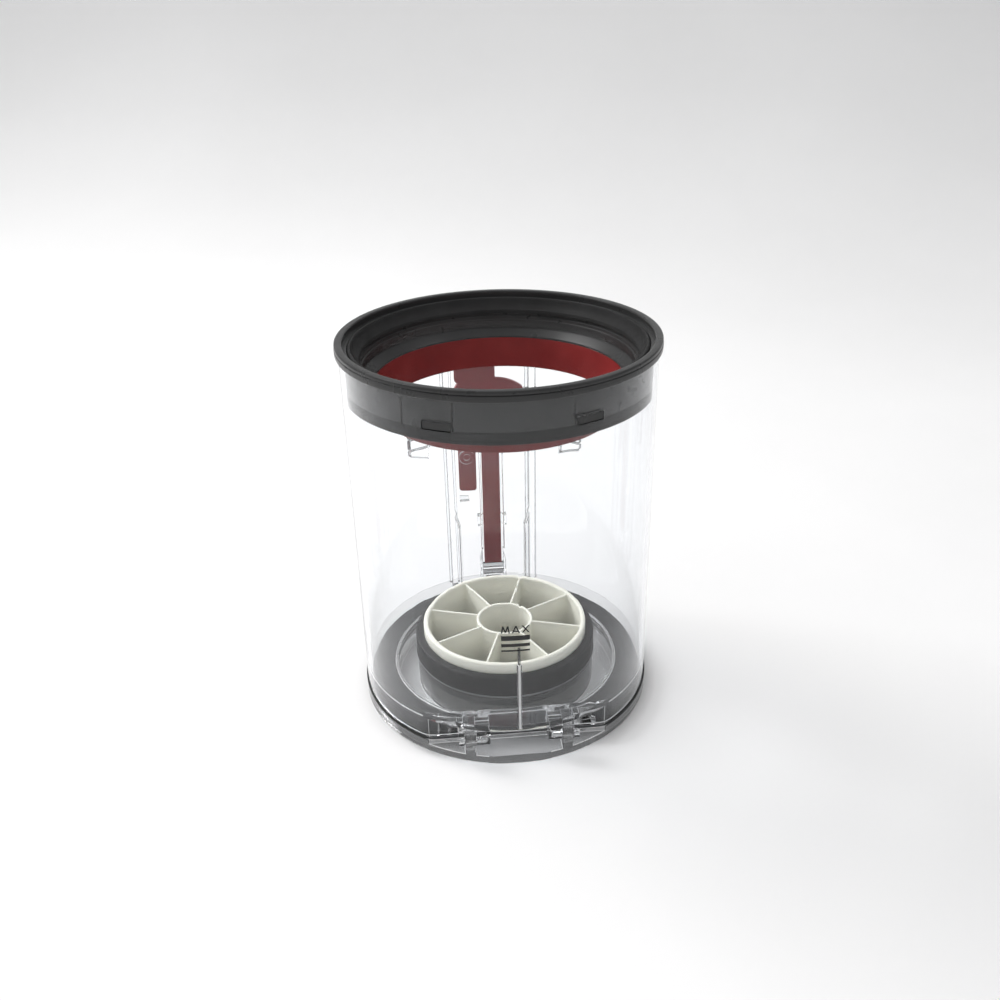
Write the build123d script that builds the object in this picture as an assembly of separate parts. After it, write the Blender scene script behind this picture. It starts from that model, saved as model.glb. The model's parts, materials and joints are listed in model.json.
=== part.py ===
from build123d import *
import os

# Clear cyclone dust bin: an open tube with a sealed mouth ring at the top and a hinged door at the base.
# Millimetres, +Z up along the tube's axis, origin at the centre of the door's underside.
# The hinge is at the front (-Y). The release lever, its rod and the door's latch are at the back (+Y).

# Tube
BIN_HEIGHT = 149.6
TUBE_RADIUS = 57.8
TUBE_WALL = 1.8
SKIRT_HEIGHT = 8.5
SKIRT_RELIEF = 0.6
RECESS_DEPTH = 10.8
RECESS_ROUND = 10.0
ROOF_THICKNESS = 1.8

# Front spine rib
SPINE_WIDTH = 1.8
SPINE_PROUD = 0.9
SPINE_CLEAR = 1.8
SPINE_LENGTH = 28.4
SPINE_TIP_WIDTH = 0.9
SPINE_TIP_LENGTH = 7.3
SPINE_CREST_SHARE = 0.44

# Mouth ring, from the rim inwards and downwards
RIM_OVERHANG = 1.2
RIM_HEIGHT = 3.9
RIM_FACE = 3.0
RIM_CHAMFER = 0.6
GROOVE_DEPTH = 2.6
RING_FIT = 0.15
RING_WALL = 2.0
RING_BAND = 10.9
POCKET_WALL = 1.25
SEAL_FIT = 0.1
LIP_SEAL_WIDTH = 4.3
LIP_SEAL_HEIGHT = 5.6
LIP_EDGE = 0.6
LIP_PROUD = 0.6
THROAT_TAPER = 0.6
THROAT_LEAD = 2.0
RING_WEB = 2.4
THROAT_WALL = 2.0
THROAT_DEPTH = 5.6

# Snap tongues of the ring and their windows in the tube
SNAP_ANGLE = 25.9
SNAP_WIDTH = 10.0
SNAP_HEIGHT = 2.9
SNAP_CLEAR = 0.2
SNAP_RECESS = 0.3
SLIT_WIDTH = 0.5
SLIT_LENGTH = 8.8
SLIT_GAP = 0.3
TONGUE_REACH = 12.5

# Clamp ring, wiper collar and lower seal
LEDGE_WIDTH = 4.0
LEDGE_DROP = 3.2
LEDGE_EDGE = 0.6
WIPER_FLANGE = 1.4
WIPER_LENGTH = 11.2
WIPER_INSET = 3.6
WIPER_LIP = 1.2
LOWER_SEAL_HEIGHT = 4.6
LOWER_SEAL_GRIP = 2.0

# Base door, from its flange inwards
DOOR_OVERHANG = 0.5
FLANGE_HEIGHT = 6.0
FLANGE_CHAMFER = 1.0
APRON_HEIGHT = 4.2
DOOR_FLOOR = 2.4
SPIGOT_GAP = 2.2
SPIGOT_WIDTH = 9.4
SPIGOT_RISE = 3.5
SPIGOT_WALL = 1.8
RIDGE_WIDTH = 1.1
RIDGE_RISE = 2.7
SPIGOT_FRONT_WIDTH = 4.8
FLAT_GAP = 1.6
FINGER_WIDTH = 18.8
FINGER_DEPTH = 0.9
FINGER_SILL = 0.8

# Seals on the door
EDGE_SEAL_HEIGHT = 0.7
EDGE_SEAL_WIDTH = 2.1
EDGE_SEAL_GAP = 0.3
RIM_SEAL_HEIGHT = 2.3
RIM_SEAL_LIP = 1.2
RIM_SEAL_LIP_FRONT = 0.6
RIM_SEAL_CHAMFER = 1.5
RIM_SEAL_FIT = 0.1

# Centre cup: collar on the door, vane insert and soft sleeve
INSERT_WALL = 2.0
INSERT_CHAMFER = 0.7
INSERT_HEIGHT = 26.2
INSERT_FLOOR = 1.8
HUB_RADIUS = 11.6
HUB_WALL = 1.2
VANE_COUNT = 8
VANE_TOP_WIDTH = 0.8
VANE_BASE_WIDTH = 1.7
VANE_DROP = 0.6
VANE_PHASE = -18.0
SLEEVE_FIT = 0.1
SLEEVE_SKIRT = 1.1
SLEEVE_SKIRT_DEPTH = 4.6
COLLAR_WALL = 1.7
COLLAR_HEIGHT = 12.8
SLEEVE_PROUD = 0.4
SLEEVE_HEIGHT = 9.2
SLEEVE_BEVEL = 0.8
CUP_CLEAR = 2.0

# Hinge at the front
PIN_FROM_FLAT = 6.0
PIN_HEIGHT = 10.4
PIN_RADIUS = 1.48
PIN_PRESS = 0.03
PIN_RUNNING = 0.09
LUG_RADIUS = 3.2
INNER_LUG_START = 11.0
INNER_LUG_WIDTH = 5.0
INNER_LUG_BLIND = 1.0
KNUCKLE_WIDTH = 4.0
KNUCKLE_GAP = 0.3
OUTER_LUG_WIDTH = 2.0

# Guide rails at the back
RAIL_CENTRE = 18.5
RAIL_WIDTH = 5.0
RAIL_WEB = 2.2
RAIL_FLANGE = 1.8
RAIL_REACH = 4.0
RAIL_LOW = 10.0
RAIL_HIGH = 124.0
GUIDE_RIB = 0.9
GUIDE_RIB_OFFSET = 3.4
GUIDE_RIB_TOP = 41.0
GUIDE_RAMP_HEIGHT = 12.0
GUIDE_RIB_REACH = 0.6
LIP_REACH = 2.1
LIP_THICKNESS = 1.4
LIP_LOW = 96.0
LIP_HIGH = 105.0

# Release lever and rod
LEVER_TRAVEL = 3.0
LEVER_GAP = 0.8
LEVER_THICKNESS = 2.6
LEVER_SLIDE_GAP = 0.4
LEVER_SIDE_GAP = 1.0
PLATE_LOW = 98.0
PLATE_SHOULDER = 8.5
PLATE_CROWN = 4.5
TONGUE_RIGHT = 3.0
TONGUE_INSET = 0.3
TONGUE_LENGTH = 11.0
NOTCH_RADIUS = 1.6
THUMB_REACH = 8.5
THUMB_THICKNESS = 2.4
THUMB_ROUND = 2.0
GRIP_RIDGES = 3
GRIP_RIDGE_RADIUS = 0.6
GRIP_RIDGE_PITCH = 2.0
LEG_LEFT = 14.4
LEG_RIGHT = 6.7
LEG_LOW = 58.5
LEG_ROUND = 1.5
ROD_WIDTH = 8.0
ROD_THICKNESS = 2.2
ROD_LOW = 20.4
ROD_WEDGE = 1.4
ROD_HEAD_WIDTH = 14.0
ROD_HEAD_HEIGHT = 2.5
ROD_HEAD_RISE = 7.0
ROD_FIT = 0.2
STOP_THICKNESS = 1.0
STOP_GAP = 0.3
STOP_WIDTH = 3.9
BOSS_RADIUS = 3.2
BOSS_BORE = 1.5
BOSS_HEIGHT = 75.6
BOSS_X = -10.8

# Rod channel and its keeper
CHANNEL_CLEAR = 0.5
CHANNEL_RIB = 1.0
CHANNEL_LOW = 28.0
CHANNEL_HIGH = 93.0
KEEPER_LOW = 40.0
KEEPER_HEIGHT = 5.0
KEEPER_WALL = 1.2
KEEPER_FIT = 0.1
KEEPER_GAP = 0.3

# Lever spring
SPRING_X = 10.0
SPRING_MEAN_RADIUS = 2.4
SPRING_WIRE = 0.6
SPRING_TURNS = 4
SPRING_LENGTH = 11.0
SPRING_SEAT_HEIGHT = 2.0
SPRING_SEAT_MARGIN = 0.6
SPRING_TUBE_GAP = 0.5
SPRING_PEG_RADIUS = 1.4
SPRING_PEG_LENGTH = 5.0
SPRING_SHELF = 1.6

# Latch on the door and its tooth on the tube
LATCH_POST = 1.2
LATCH_POST_GAP = 0.9
LATCH_HEIGHT = 26.4
LATCH_FLARE = 4.6
LATCH_REACH = 1.8
LATCH_GAP = 0.5
LATCH_BAR_HIGH = 18.6
LATCH_BAR_HEIGHT = 2.4
LATCH_HOOK_HIGH = 14.6
LATCH_HOOK_HEIGHT = 1.5
LATCH_FOOT = 4.0
LATCH_SHELF = 2.0
LATCH_SHELF_MARGIN = 1.6
TOOTH_WIDTH = 7.0
TOOTH_REACH = 2.6
TOOTH_HEIGHT = 2.4
TOOTH_RAMP = 1.2
TOOTH_GAP = 0.4
HOOK_GAP = 0.3

# Side lugs at the back
SIDE_LUG_LEFT = 33.0
SIDE_LUG_RIGHT = 36.3
SIDE_LUG_WIDTH = 9.5
SIDE_LUG_REACH = 2.6
SIDE_LUG_LOW = 79.0
SIDE_LUG_HEIGHT = 17.0
SIDE_LUG_SLANT = 3.0
SIDE_LUG_GROOVE = 0.8
SIDE_LUG_GROOVE_PITCH = 5.0

# Heights and radii that follow
tube_bore = TUBE_RADIUS - TUBE_WALL
tube_top = BIN_HEIGHT - RIM_HEIGHT
tube_bottom = FLANGE_HEIGHT + EDGE_SEAL_HEIGHT + EDGE_SEAL_GAP
skirt_top = tube_bottom + SKIRT_HEIGHT
skirt_bore = tube_bore + SKIRT_RELIEF
wall_middle = TUBE_RADIUS - TUBE_WALL / 2

rim_radius = TUBE_RADIUS + RIM_OVERHANG
band_outer = tube_bore - RING_FIT
band_inner = band_outer - RING_WALL
band_low = tube_top - RING_BAND
groove_z = BIN_HEIGHT - GROOVE_DEPTH
lip_top = groove_z + LIP_PROUD
seal_seat = lip_top - LIP_SEAL_HEIGHT
pocket_radius = band_outer - POCKET_WALL
lip_outer = pocket_radius - SEAL_FIT
throat_top = lip_outer - LIP_SEAL_WIDTH
throat_radius = throat_top - THROAT_TAPER
clamp_top = seal_seat - THROAT_DEPTH
clamp_low = clamp_top - LEDGE_DROP
clamp_outer = band_inner - SEAL_FIT
ledge_radius = throat_radius - LEDGE_WIDTH
wiper_low = clamp_low - WIPER_LENGTH
wiper_radius = ledge_radius - WIPER_INSET
flange_low = clamp_low - WIPER_FLANGE

recess_outer = TUBE_RADIUS - RECESS_DEPTH
recess_inner = recess_outer - TUBE_WALL
flange_radius = TUBE_RADIUS + DOOR_OVERHANG
spigot_outer = skirt_bore - SPIGOT_GAP
spigot_inner = spigot_outer - SPIGOT_WIDTH
spigot_top = FLANGE_HEIGHT + SPIGOT_RISE
flat_outer = recess_inner - FLAT_GAP
flat_inner = flat_outer - SPIGOT_FRONT_WIDTH

sleeve_outer = flat_inner - CUP_CLEAR
collar_outer = sleeve_outer - SLEEVE_PROUD
collar_inner = collar_outer - COLLAR_WALL
collar_top = DOOR_FLOOR + COLLAR_HEIGHT
sleeve_inner = collar_inner - SLEEVE_FIT - SLEEVE_SKIRT
sleeve_top = collar_top + SLEEVE_HEIGHT
insert_radius = sleeve_inner - SLEEVE_FIT
insert_top = DOOR_FLOOR + INSERT_HEIGHT

pin_y = -(recess_outer + PIN_FROM_FLAT)
knuckle_start = INNER_LUG_START + INNER_LUG_WIDTH + KNUCKLE_GAP
outer_lug_start = knuckle_start + KNUCKLE_WIDTH + KNUCKLE_GAP
pin_start = INNER_LUG_START + INNER_LUG_BLIND
pin_end = outer_lug_start + OUTER_LUG_WIDTH

lever_front = TUBE_RADIUS + LEVER_GAP
lever_back = lever_front + LEVER_THICKNESS
rod_back = lever_front + ROD_THICKNESS
rail_back = TUBE_RADIUS + RAIL_REACH
rail_inner = RAIL_CENTRE - RAIL_WIDTH / 2
plate_half = rail_inner - LEVER_SIDE_GAP
plate_shoulder = PLATE_LOW + PLATE_SHOULDER
plate_crown = plate_shoulder + PLATE_CROWN
tongue_high = plate_crown + TONGUE_LENGTH
rod_half = ROD_WIDTH / 2
rod_top = PLATE_LOW + ROD_HEAD_RISE
channel_inner = rod_half + CHANNEL_CLEAR
channel_outer = channel_inner + CHANNEL_RIB
spring_y = TUBE_RADIUS + SPRING_TUBE_GAP + SPRING_MEAN_RADIUS
spring_radius = SPRING_MEAN_RADIUS + SPRING_WIRE / 2
spring_seat = PLATE_LOW - SPRING_SEAT_HEIGHT / 2
spring_low = spring_seat - SPRING_LENGTH
latch_inner = rod_half + LATCH_POST_GAP
latch_outer = latch_inner + LATCH_POST
latch_front = lever_front
latch_bar_front = rod_back + LATCH_GAP
latch_back = latch_bar_front + LATCH_REACH
tooth_back = TUBE_RADIUS + TOOTH_REACH
tooth_top = LATCH_HOOK_HIGH - LATCH_HOOK_HEIGHT - TOOTH_GAP

LOW = (Align.CENTER, Align.CENTER, Align.MIN)
CORNER = (Align.MIN, Align.MIN, Align.MIN)


def block(x_span, y_span, z_span):
    """Box between pairs of coordinates."""
    size = Box(x_span[1] - x_span[0], y_span[1] - y_span[0], z_span[1] - z_span[0], align=CORNER)
    return Pos(x_span[0], y_span[0], z_span[0]) * size


def drum(radius, z_low, z_high):
    """Upright cylinder on the tube's axis."""
    return Pos(0, 0, z_low) * Cylinder(radius, z_high - z_low, align=LOW)


def revolved(outline):
    """Solid of revolution about Z from a closed outline of (radius, height) points."""
    face = make_face(Polyline(*[(r, 0, z) for r, z in outline], close=True))
    return revolve(face, axis=Axis.Z)


def d_prism(radius, flat, z_low, z_high):
    """Upright cylinder whose front is cut flat at y = -flat, with round corners beside the flat."""
    front = block((-radius, radius), (-2 * radius, -flat), (z_low, z_high))
    prism = drum(radius, z_low, z_high) - front
    corners = prism.edges().filter_by(Axis.Z).group_by(Axis.Y)[0]
    return fillet(corners, RECESS_ROUND)


def d_ring(outer, inner, z_low, z_high):
    """Ring between two D-shaped outlines, each given as (radius, flat)."""
    return d_prism(*outer, z_low, z_high) - d_prism(*inner, z_low, z_high)


def standing_outline(outline, y_low, y_high):
    """Prism of a closed outline of (x, z) points, between two depths along Y."""
    face = make_face(Polyline(*[(x, 0, z) for x, z in outline], close=True))
    return Pos(0, y_low, 0) * extrude(face, amount=y_high - y_low, dir=(0, 1, 0))


def side_outline(outline, x_low, x_high):
    """Prism of a closed outline of (y, z) points, between two widths along X."""
    face = make_face(Polyline(*[(0, y, z) for y, z in outline], close=True))
    return Pos(x_low, 0, 0) * extrude(face, amount=x_high - x_low, dir=(1, 0, 0))


def cross_pin(radius, x_span, y, z):
    """Cylinder along X between two widths."""
    length = x_span[1] - x_span[0]
    return Pos(x_span[0], y, z) * Rot(0, 90, 0) * Cylinder(radius, length, align=LOW)


def both_sides(shape):
    """A shape on the right together with its mirror image on the left."""
    return shape + mirror(shape, about=Plane.YZ)


def outside_tube(shape):
    """What of a shape lies outside the middle of the tube's wall, so that it fuses with the wall."""
    return shape - drum(wall_middle, 0, BIN_HEIGHT)


def around_axis(shape, angles):
    """Copies of a front piece turned about the tube's axis."""
    return [Rot(0, 0, angle) * shape for angle in angles]


def snap_angles():
    """Angles of the snap tongues: two at the front and two at the back."""
    return (SNAP_ANGLE, -SNAP_ANGLE, 180 + SNAP_ANGLE, 180 - SNAP_ANGLE)


def tube_shell():
    """Clear wall with the skirt's wider bore and the flat hinge recess at the front."""
    roof_top = skirt_top + ROOF_THICKNESS
    shell = drum(TUBE_RADIUS, tube_bottom, tube_top) - drum(tube_bore, roof_top, tube_top)
    shell -= d_prism(tube_bore, recess_inner, skirt_top, roof_top)
    shell -= d_prism(skirt_bore, recess_inner, tube_bottom, skirt_top)
    width = (-TUBE_RADIUS, TUBE_RADIUS)
    return shell - block(width, (-2 * TUBE_RADIUS, -recess_outer), (tube_bottom, skirt_top))


def hinge_lugs():
    """Inner and outer lugs under the recess roof, bored for the hinge pins."""
    lugs = []
    for start, width in ((INNER_LUG_START, INNER_LUG_WIDTH), (outer_lug_start, OUTER_LUG_WIDTH)):
        span = (start, start + width)
        nose = cross_pin(LUG_RADIUS, span, pin_y, PIN_HEIGHT)
        root = block(span, (pin_y, -recess_outer), (PIN_HEIGHT - LUG_RADIUS, skirt_top))
        cheek = block(span, (pin_y - LUG_RADIUS, pin_y), (PIN_HEIGHT, skirt_top))
        lugs.append(nose + root + cheek)
    bore = cross_pin(PIN_RADIUS + PIN_PRESS, (pin_start, pin_end), pin_y, PIN_HEIGHT)
    return both_sides(lugs[0] + lugs[1] - bore)


def spine_rib():
    """Rib up the front of the tube, nearly half round, with a thinner tip."""
    low = skirt_top + SPINE_CLEAR
    high = low + SPINE_LENGTH
    depth = (-TUBE_RADIUS - SPINE_PROUD, -wall_middle)
    tip_depth = (-TUBE_RADIUS - SPINE_PROUD / 2, -wall_middle)
    body = block((-SPINE_WIDTH / 2, SPINE_WIDTH / 2), depth, (low, high))
    tip = block((-SPINE_TIP_WIDTH / 2, SPINE_TIP_WIDTH / 2), tip_depth, (high, high + SPINE_TIP_LENGTH))
    body = fillet(body.edges().filter_by(Axis.Z).group_by(Axis.Y)[0], SPINE_WIDTH * SPINE_CREST_SHARE)
    tip = fillet(tip.edges().filter_by(Axis.Z).group_by(Axis.Y)[0], SPINE_TIP_WIDTH * SPINE_CREST_SHARE)
    return body + tip


def guide_rails():
    """Two T-section rails at the back, each with a lip over the lever and a lower guide rib."""
    web = (RAIL_CENTRE - RAIL_WEB / 2, RAIL_CENTRE + RAIL_WEB / 2)
    head = (rail_inner, RAIL_CENTRE + RAIL_WIDTH / 2)
    height = (RAIL_LOW, RAIL_HIGH)
    rail = block(web, (0, rail_back), height) + block(head, (rail_back - RAIL_FLANGE, rail_back), height)
    lip_low = lever_back + LEVER_SLIDE_GAP
    lip_high = lip_low + LIP_THICKNESS
    lip = block((rail_inner - LIP_REACH, head[1]), (lip_low, lip_high), (LIP_LOW, LIP_HIGH))
    post = block(head, (rail_back - RAIL_FLANGE, lip_high), (LIP_LOW, LIP_HIGH))
    rib_x = RAIL_CENTRE - GUIDE_RIB_OFFSET
    ramp_top = GUIDE_RIB_TOP + GUIDE_RAMP_HEIGHT
    half = GUIDE_RIB / 2
    rib_outline = [
        (rib_x - half, RAIL_LOW),
        (rib_x + half, RAIL_LOW),
        (rib_x + half, GUIDE_RIB_TOP),
        (RAIL_CENTRE + half, ramp_top),
        (RAIL_CENTRE - half, ramp_top),
        (rib_x - half, GUIDE_RIB_TOP),
    ]
    rib = standing_outline(rib_outline, 0, TUBE_RADIUS + GUIDE_RIB_REACH)
    return both_sides(outside_tube(rail + rib) + lip + post)


def rod_channel():
    """Two ribs that guide the rod, the lever's stop, its boss ring and the spring's shelf."""
    rib = block((channel_inner, channel_outer), (0, rod_back), (CHANNEL_LOW, CHANNEL_HIGH))
    stop_top = LEG_LOW - LEVER_TRAVEL - STOP_GAP
    stop = block((-LEG_LEFT, -LEG_LEFT + STOP_WIDTH), (0, rod_back), (stop_top - STOP_THICKNESS, stop_top))
    boss_base = Pos(BOSS_X, 0, BOSS_HEIGHT) * Rot(-90, 0, 0)
    boss = boss_base * Cylinder(BOSS_RADIUS, TUBE_RADIUS, align=LOW)
    boss -= boss_base * Cylinder(BOSS_BORE, 2 * TUBE_RADIUS, align=LOW)
    half = spring_radius + SPRING_SEAT_MARGIN
    shelf_depth = (0, spring_y + half)
    shelf = block((SPRING_X - half, SPRING_X + half), shelf_depth, (spring_low - SPRING_SHELF, spring_low))
    gusset_outline = [
        (0, spring_low - SPRING_SHELF),
        (spring_y + half, spring_low - SPRING_SHELF),
        (TUBE_RADIUS, spring_low - SPRING_SHELF - half),
        (0, spring_low - SPRING_SHELF - half),
    ]
    gusset = side_outline(gusset_outline, SPRING_X - CHANNEL_RIB / 2, SPRING_X + CHANNEL_RIB / 2)
    return outside_tube(both_sides(rib) + stop + boss + shelf + gusset)


def latch_tooth():
    """Tooth on the tube's back, ramped below, under the latch's hook bar."""
    outline = [
        (0, tooth_top),
        (tooth_back, tooth_top),
        (tooth_back, tooth_top - TOOTH_HEIGHT + TOOTH_RAMP),
        (tooth_back - TOOTH_RAMP, tooth_top - TOOTH_HEIGHT),
        (0, tooth_top - TOOTH_HEIGHT),
    ]
    return outside_tube(side_outline(outline, -TOOTH_WIDTH / 2, TOOTH_WIDTH / 2))


def side_lugs():
    """Two grooved lugs on the tube's back, left and right of the rails."""
    half = SIDE_LUG_WIDTH / 2
    high = SIDE_LUG_LOW + SIDE_LUG_HEIGHT
    outline = [(-half, SIDE_LUG_LOW), (half, SIDE_LUG_LOW + SIDE_LUG_SLANT), (half, high), (-half, high)]
    lug = standing_outline(outline, 0, TUBE_RADIUS + SIDE_LUG_REACH)
    for step in (1, 2):
        z = SIDE_LUG_LOW + step * SIDE_LUG_GROOVE_PITCH
        depth = (TUBE_RADIUS + SIDE_LUG_REACH / 2, 2 * TUBE_RADIUS)
        lug -= block((-half, half), depth, (z, z + SIDE_LUG_GROOVE))
    lug = outside_tube(lug)
    return Rot(0, 0, -SIDE_LUG_RIGHT) * lug + Rot(0, 0, SIDE_LUG_LEFT) * mirror(lug, about=Plane.YZ)


def snap_windows():
    """Cutters for the four windows that the ring's snap noses fill."""
    half = SNAP_WIDTH / 2
    window = block((-half, half), (-2 * TUBE_RADIUS, -tube_bore / 2), (band_low, band_low + SNAP_HEIGHT))
    return around_axis(window, snap_angles())


def bin_tube():
    tube = tube_shell() + hinge_lugs() + spine_rib()
    tube += guide_rails() + rod_channel() + latch_tooth() + side_lugs()
    for window in snap_windows():
        tube -= window
    return tube


def mouth_ring():
    """Rim, band and tapered throat in one moulding, with slit snap tongues."""
    ring = revolved([
        (band_outer, band_low),
        (band_outer, tube_top),
        (rim_radius, tube_top),
        (rim_radius, BIN_HEIGHT),
        (rim_radius - RIM_FACE, BIN_HEIGHT),
        (rim_radius - RIM_FACE, groove_z),
        (pocket_radius, groove_z),
        (pocket_radius, seal_seat),
        (throat_top, seal_seat),
        (throat_radius, seal_seat - THROAT_LEAD),
        (throat_radius, clamp_top),
        (throat_radius + THROAT_WALL, clamp_top),
        (throat_radius + THROAT_WALL, seal_seat - RING_WEB),
        (band_inner, seal_seat - RING_WEB),
        (band_inner, band_low),
    ])
    ring = chamfer(ring.edges().filter_by(GeomType.CIRCLE).group_by(Axis.Z)[-1], RIM_CHAMFER)
    half = SNAP_WIDTH / 2 - SNAP_CLEAR
    nose_top = band_low + SNAP_HEIGHT - SNAP_CLEAR
    nose = block((-half, half), (-TUBE_RADIUS, -band_inner), (band_low + SNAP_CLEAR, nose_top))
    nose &= drum(TUBE_RADIUS - SNAP_RECESS, 0, BIN_HEIGHT) - drum(band_outer - SNAP_RECESS, 0, BIN_HEIGHT)
    for x_low in (-half - SLIT_GAP - SLIT_WIDTH, TONGUE_REACH):
        slit = block((x_low, x_low + SLIT_WIDTH), (-TUBE_RADIUS, 0), (band_low, band_low + SLIT_LENGTH))
        slit -= drum(band_inner - SLIT_WIDTH, 0, BIN_HEIGHT)
        for cut in around_axis(slit, (SNAP_ANGLE, 180 + SNAP_ANGLE)):
            ring -= both_sides(cut)
    for snap in around_axis(nose, snap_angles()):
        ring += snap
    return ring


def mouth_lip_seal():
    return revolved([
        (throat_top, seal_seat),
        (lip_outer, seal_seat),
        (lip_outer, groove_z),
        (lip_outer - LIP_EDGE, lip_top),
        (lip_outer - 2 * LIP_EDGE, lip_top),
    ])


def ring_lower_seal():
    """Soft band under the ring, with a foot that grips the wiper's flange from below."""
    low = band_low - LOWER_SEAL_HEIGHT
    return revolved([
        (band_outer, low),
        (band_outer, band_low),
        (band_inner, band_low),
        (band_inner, flange_low),
        (band_inner - LOWER_SEAL_GRIP, flange_low),
        (band_inner - LOWER_SEAL_GRIP, low),
    ])


def wiper_clamp_ring():
    return revolved([
        (clamp_outer, clamp_low),
        (clamp_outer, clamp_top),
        (throat_radius, clamp_top),
        (ledge_radius, clamp_low + LEDGE_EDGE),
        (ledge_radius, clamp_low),
    ])


def shroud_wiper():
    """Soft collar: a flat flange under the clamp ring and a cone that narrows downwards."""
    return revolved([
        (clamp_outer, flange_low),
        (clamp_outer, clamp_low),
        (ledge_radius, clamp_low),
        (wiper_radius, wiper_low),
        (wiper_radius + WIPER_LIP, wiper_low),
        (ledge_radius + WIPER_LIP, flange_low),
    ])


def lever_plate():
    """Plate of the lever: pad with a rounded crown, and a tongue above its left part."""
    half = plate_half
    left = -half + TONGUE_INSET
    crown_middle = ((TONGUE_RIGHT + half) / 2, plate_shoulder + 0.75 * PLATE_CROWN)
    notch_high = plate_shoulder + 2 * NOTCH_RADIUS
    edges = [
        Line((-half, PLATE_LOW), (half, PLATE_LOW)),
        Line((half, PLATE_LOW), (half, plate_shoulder)),
        ThreePointArc((half, plate_shoulder), crown_middle, (TONGUE_RIGHT, plate_crown)),
        Line((TONGUE_RIGHT, plate_crown), (TONGUE_RIGHT, tongue_high)),
        Line((TONGUE_RIGHT, tongue_high), (left, tongue_high)),
        Line((left, tongue_high), (left, notch_high + NOTCH_RADIUS)),
        RadiusArc((left, notch_high + NOTCH_RADIUS), (left + NOTCH_RADIUS, notch_high), -NOTCH_RADIUS),
        Line((left + NOTCH_RADIUS, notch_high), (-half, plate_shoulder)),
        Line((-half, plate_shoulder), (-half, PLATE_LOW)),
    ]
    face = make_face(edges)
    plate = extrude(Plane.XZ * face, amount=-LEVER_THICKNESS)
    return Pos(0, lever_front, 0) * plate


def thumb_piece():
    """Curved thumb shelf at the top of the tongue, with grip ridges across it."""
    low = tongue_high - THUMB_THICKNESS
    outer = lever_back + THUMB_REACH
    outline = [
        (lever_front, low - THUMB_ROUND),
        (lever_back, low - THUMB_ROUND),
        (lever_back + THUMB_ROUND, low),
        (outer, low),
        (outer, tongue_high),
        (lever_front, tongue_high),
    ]
    span = (-plate_half + TONGUE_INSET, TONGUE_RIGHT)
    thumb = side_outline(outline, *span)
    for number in range(GRIP_RIDGES):
        y = outer - GRIP_RIDGE_PITCH * (number + 0.5)
        thumb += cross_pin(GRIP_RIDGE_RADIUS, span, y, tongue_high)
    return thumb


def release_lever():
    """Red lever: plate, thumb shelf, short leg and spring seat, slotted for the rod's head."""
    depth = (lever_front, lever_back)
    leg = block((-LEG_LEFT, -LEG_RIGHT), depth, (LEG_LOW, PLATE_LOW))
    leg = fillet(leg.edges().filter_by(Axis.Y).group_by(Axis.Z)[0], LEG_ROUND)
    half = spring_radius + SPRING_SEAT_MARGIN
    seat_depth = (lever_front, spring_y + half)
    seat_height = (spring_seat, spring_seat + SPRING_SEAT_HEIGHT)
    seat = block((SPRING_X - half, SPRING_X + half), seat_depth, seat_height)
    peg = Pos(SPRING_X, spring_y, spring_seat - SPRING_PEG_LENGTH)
    peg *= Cylinder(SPRING_PEG_RADIUS, SPRING_PEG_LENGTH, align=LOW)
    neck = rod_half + ROD_FIT
    head = ROD_HEAD_WIDTH / 2 + ROD_FIT
    slot_depth = (lever_front, lever_back)
    head_low = rod_top - ROD_HEAD_HEIGHT - ROD_FIT
    slot = block((-neck, neck), slot_depth, (PLATE_LOW, head_low))
    slot += block((-head, head), slot_depth, (head_low, rod_top + ROD_FIT))
    return lever_plate() + thumb_piece() + leg + seat + peg - slot


def push_rod():
    """Flat rod with a T-head in the lever and a wedge at its lower end."""
    head = ROD_HEAD_WIDTH / 2
    outline = [
        (lever_front, ROD_LOW),
        (rod_back - ROD_WEDGE, ROD_LOW),
        (rod_back, ROD_LOW + 2 * ROD_WEDGE),
        (rod_back, rod_top),
        (lever_front, rod_top),
    ]
    strip = side_outline(outline, -rod_half, rod_half)
    return strip + block((-head, head), (lever_front, rod_back), (rod_top - ROD_HEAD_HEIGHT, rod_top))


def rod_keeper():
    """Clip over the rod's channel."""
    inner = channel_outer + KEEPER_FIT
    outer = inner + KEEPER_WALL
    bridge = rod_back + KEEPER_GAP
    height = (KEEPER_LOW, KEEPER_LOW + KEEPER_HEIGHT)
    clip = block((-outer, outer), (lever_front, bridge + KEEPER_WALL), height)
    return clip - block((-inner, inner), (lever_front, bridge), height)


def lever_spring():
    """Return spring of square wire between the tube's shelf and the lever's seat."""
    coil_height = SPRING_LENGTH - SPRING_WIRE
    path = Helix(coil_height / SPRING_TURNS, coil_height, SPRING_MEAN_RADIUS)
    section = Plane(path @ 0, z_dir=path % 0) * Rectangle(SPRING_WIRE, SPRING_WIRE)
    coil = sweep(section, path=path, is_frenet=True)
    return Pos(SPRING_X, spring_y, spring_low + SPRING_WIRE / 2) * coil


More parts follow.
